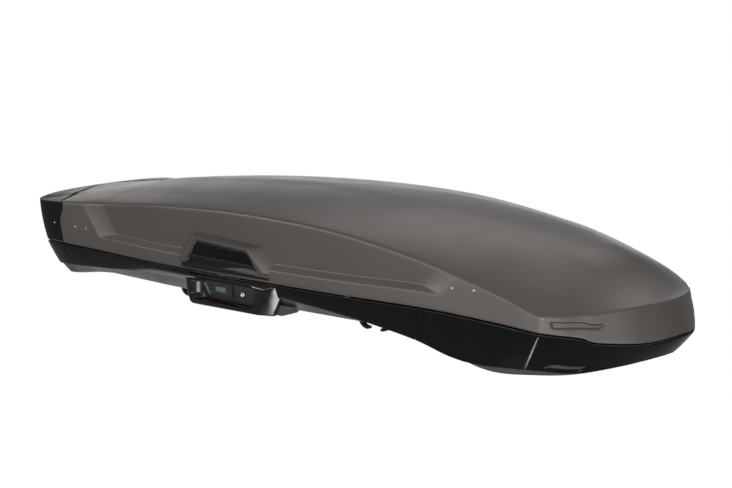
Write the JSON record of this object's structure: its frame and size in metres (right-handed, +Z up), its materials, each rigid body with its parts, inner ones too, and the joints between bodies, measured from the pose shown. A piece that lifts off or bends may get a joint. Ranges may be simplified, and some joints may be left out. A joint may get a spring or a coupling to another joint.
{
  "type": "roof cargo box",
  "caption": "Hard-shell roof cargo box with a lid that opens from either side, sliding side locks, and claw clamps that grip two crossbars.",
  "frame": {"origin": "midway between the two crossbars, on the plane of their top faces", "axes": "+X the direction of travel (nose), +Y the left side, +Z up"},
  "size_m": [2.335, 0.892, 0.4126],
  "materials": {
    "lid_shell_matte": "fine-grained warm grey titanium-look ABS, satin",
    "base_matte": "grained dark grey ABS",
    "trim_gloss_black": "gloss black ABS",
    "trim_satin_black": "satin black moulded plastic",
    "felt": "needled felt, charcoal",
    "rail_aluminium": "mill-finished extrusion",
    "pad_rubber": "matte black rubber",
    "hardware_steel": "zinc-plated steel",
    "window_tinted": "smoked grey-green clear plastic",
    "lock_chrome": "satin chrome",
    "knob_grey": "ribbed soft-touch plastic",
    "claw_coated": "black powder coat over steel"
  },
  "bodies": {
    "base": {"base_pan": "base_matte", "tail_fairing": "trim_gloss_black", "nose_fairing": "trim_gloss_black", "side_skirt_right": "trim_gloss_black", "side_skirt_left": "trim_gloss_black", "lock_pod_right": "trim_gloss_black", "lock_pod_left": "trim_gloss_black", "lock_bezel_right": "trim_satin_black", "lock_bezel_left": "trim_satin_black", "floor_mat": "felt", "clamp_rail_right": "rail_aluminium", "clamp_rail_left": "rail_aluminium", "bar_pads": "pad_rubber", "catch_brackets_right": "hardware_steel", "catch_brackets_left": "hardware_steel", "base_screws": "hardware_steel"},
    "right_hinge_pins": {"hinge_pins_right": "hardware_steel"},
    "lid": {"lid_shell": "lid_shell_matte", "tail_cap": "trim_satin_black", "handle_plate_right": "trim_satin_black", "handle_plate_left": "trim_satin_black", "catch_lugs_right": "hardware_steel", "catch_lugs_left": "hardware_steel", "hinge_pins_left": "hardware_steel", "lid_rivets": "hardware_steel", "cap_screws": "hardware_steel"},
    "right_lock": {"lock_slider_right": "trim_satin_black", "status_window_right": "window_tinted", "lock_bar_right": "hardware_steel"},
    "right_key": {"key_cylinder_right": "lock_chrome"},
    "left_lock": {"lock_slider_left": "trim_satin_black", "status_window_left": "window_tinted", "lock_bar_left": "hardware_steel"},
    "left_key": {"key_cylinder_left": "lock_chrome"},
    "clamp_front_right": {"clamp_housing_front_right": "trim_satin_black", "claw_pins_front_right": "hardware_steel"},
    "knob_front_right": {"clamp_knob_front_right": "knob_grey"},
    "front_claw_front_right": {"front_claw_front_right": "claw_coated"},
    "rear_claw_front_right": {"rear_claw_front_right": "claw_coated"},
    "clamp_front_left": {"clamp_housing_front_left": "trim_satin_black", "claw_pins_front_left": "hardware_steel"},
    "knob_front_left": {"clamp_knob_front_left": "knob_grey"},
    "front_claw_front_left": {"front_claw_front_left": "claw_coated"},
    "rear_claw_front_left": {"rear_claw_front_left": "claw_coated"},
    "clamp_rear_right": {"clamp_housing_rear_right": "trim_satin_black", "claw_pins_rear_right": "hardware_steel"},
    "knob_rear_right": {"clamp_knob_rear_right": "knob_grey"},
    "front_claw_rear_right": {"front_claw_rear_right": "claw_coated"},
    "rear_claw_rear_right": {"rear_claw_rear_right": "claw_coated"},
    "clamp_rear_left": {"clamp_housing_rear_left": "trim_satin_black", "claw_pins_rear_left": "hardware_steel"},
    "knob_rear_left": {"clamp_knob_rear_left": "knob_grey"},
    "front_claw_rear_left": {"front_claw_rear_left": "claw_coated"},
    "rear_claw_rear_left": {"rear_claw_rear_left": "claw_coated"}
  },
  "joints": [
    {"name": "right_side_opening", "type": "hinge", "parent": "base", "child": "right_hinge_pins", "pos_m": [0.085, 0.41, 0.112], "axis": [-1, 0, 0], "range_deg": [0, 45]},
    {"name": "left_side_opening", "type": "hinge", "parent": "right_hinge_pins", "child": "lid", "pos_m": [0.085, -0.41, 0.112], "axis": [-1, 0, 0], "range_deg": [-45, 0]},
    {"name": "right_lock_slide", "type": "slide", "parent": "base", "child": "right_lock", "axis": [1, 0, 0], "range_m": [-0.02, 0]},
    {"name": "right_key_turn", "type": "hinge", "parent": "base", "child": "right_key", "pos_m": [-0.007, -0.414, 0.037], "axis": [0, -1, 0], "range_deg": [-90, 0]},
    {"name": "left_lock_slide", "type": "slide", "parent": "base", "child": "left_lock", "axis": [-1, 0, 0], "range_m": [0, 0.02]},
    {"name": "left_key_turn", "type": "hinge", "parent": "base", "child": "left_key", "pos_m": [-0.007, 0.414, 0.037], "axis": [0, 1, 0], "range_deg": [0, 90]},
    {"name": "clamp_slide_front_right", "type": "slide", "parent": "base", "child": "clamp_front_right", "axis": [1, 0, 0], "range_m": [-0.04, 0.04]},
    {"name": "knob_turn_front_right", "type": "hinge", "parent": "clamp_front_right", "child": "knob_front_right", "pos_m": [0.375, -0.26, 0.06], "axis": [0, 0, 1], "range_deg": [0, 540]},
    {"name": "front_claw_swing_front_right", "type": "hinge", "parent": "clamp_front_right", "child": "front_claw_front_right", "pos_m": [0.403, -0.26, 0.024], "axis": [0, -1, 0], "range_deg": [0, 20]},
    {"name": "rear_claw_swing_front_right", "type": "hinge", "parent": "clamp_front_right", "child": "rear_claw_front_right", "pos_m": [0.347, -0.26, 0.024], "axis": [0, 1, 0], "range_deg": [0, 20]},
    {"name": "clamp_slide_front_left", "type": "slide", "parent": "base", "child": "clamp_front_left", "axis": [1, 0, 0], "range_m": [-0.04, 0.04]},
    {"name": "knob_turn_front_left", "type": "hinge", "parent": "clamp_front_left", "child": "knob_front_left", "pos_m": [0.375, 0.26, 0.06], "axis": [0, 0, 1], "range_deg": [0, 540]},
    {"name": "front_claw_swing_front_left", "type": "hinge", "parent": "clamp_front_left", "child": "front_claw_front_left", "pos_m": [0.403, 0.26, 0.024], "axis": [0, -1, 0], "range_deg": [0, 20]},
    {"name": "rear_claw_swing_front_left", "type": "hinge", "parent": "clamp_front_left", "child": "rear_claw_front_left", "pos_m": [0.347, 0.26, 0.024], "axis": [0, 1, 0], "range_deg": [0, 20]},
    {"name": "clamp_slide_rear_right", "type": "slide", "parent": "base", "child": "clamp_rear_right", "axis": [1, 0, 0], "range_m": [-0.04, 0.04]},
    {"name": "knob_turn_rear_right", "type": "hinge", "parent": "clamp_rear_right", "child": "knob_rear_right", "pos_m": [-0.375, -0.26, 0.06], "axis": [0, 0, 1], "range_deg": [0, 540]},
    {"name": "front_claw_swing_rear_right", "type": "hinge", "parent": "clamp_rear_right", "child": "front_claw_rear_right", "pos_m": [-0.347, -0.26, 0.024], "axis": [0, -1, 0], "range_deg": [0, 20]},
    {"name": "rear_claw_swing_rear_right", "type": "hinge", "parent": "clamp_rear_right", "child": "rear_claw_rear_right", "pos_m": [-0.403, -0.26, 0.024], "axis": [0, 1, 0], "range_deg": [0, 20]},
    {"name": "clamp_slide_rear_left", "type": "slide", "parent": "base", "child": "clamp_rear_left", "axis": [1, 0, 0], "range_m": [-0.04, 0.04]},
    {"name": "knob_turn_rear_left", "type": "hinge", "parent": "clamp_rear_left", "child": "knob_rear_left", "pos_m": [-0.375, 0.26, 0.06], "axis": [0, 0, 1], "range_deg": [0, 540]},
    {"name": "front_claw_swing_rear_left", "type": "hinge", "parent": "clamp_rear_left", "child": "front_claw_rear_left", "pos_m": [-0.347, 0.26, 0.024], "axis": [0, -1, 0], "range_deg": [0, 20]},
    {"name": "rear_claw_swing_rear_left", "type": "hinge", "parent": "clamp_rear_left", "child": "rear_claw_rear_left", "pos_m": [-0.403, 0.26, 0.024], "axis": [0, 1, 0], "range_deg": [0, 20]}
  ],
  "couplings": [
    {"joint": "front_claw_swing_front_right", "follows": "knob_turn_front_right", "ratio": 0.037037},
    {"joint": "rear_claw_swing_front_right", "follows": "knob_turn_front_right", "ratio": 0.037037},
    {"joint": "front_claw_swing_front_left", "follows": "knob_turn_front_left", "ratio": 0.037037},
    {"joint": "rear_claw_swing_front_left", "follows": "knob_turn_front_left", "ratio": 0.037037},
    {"joint": "front_claw_swing_rear_right", "follows": "knob_turn_rear_right", "ratio": 0.037037},
    {"joint": "rear_claw_swing_rear_right", "follows": "knob_turn_rear_right", "ratio": 0.037037},
    {"joint": "front_claw_swing_rear_left", "follows": "knob_turn_rear_left", "ratio": 0.037037},
    {"joint": "rear_claw_swing_rear_left", "follows": "knob_turn_rear_left", "ratio": 0.037037}
  ]
}
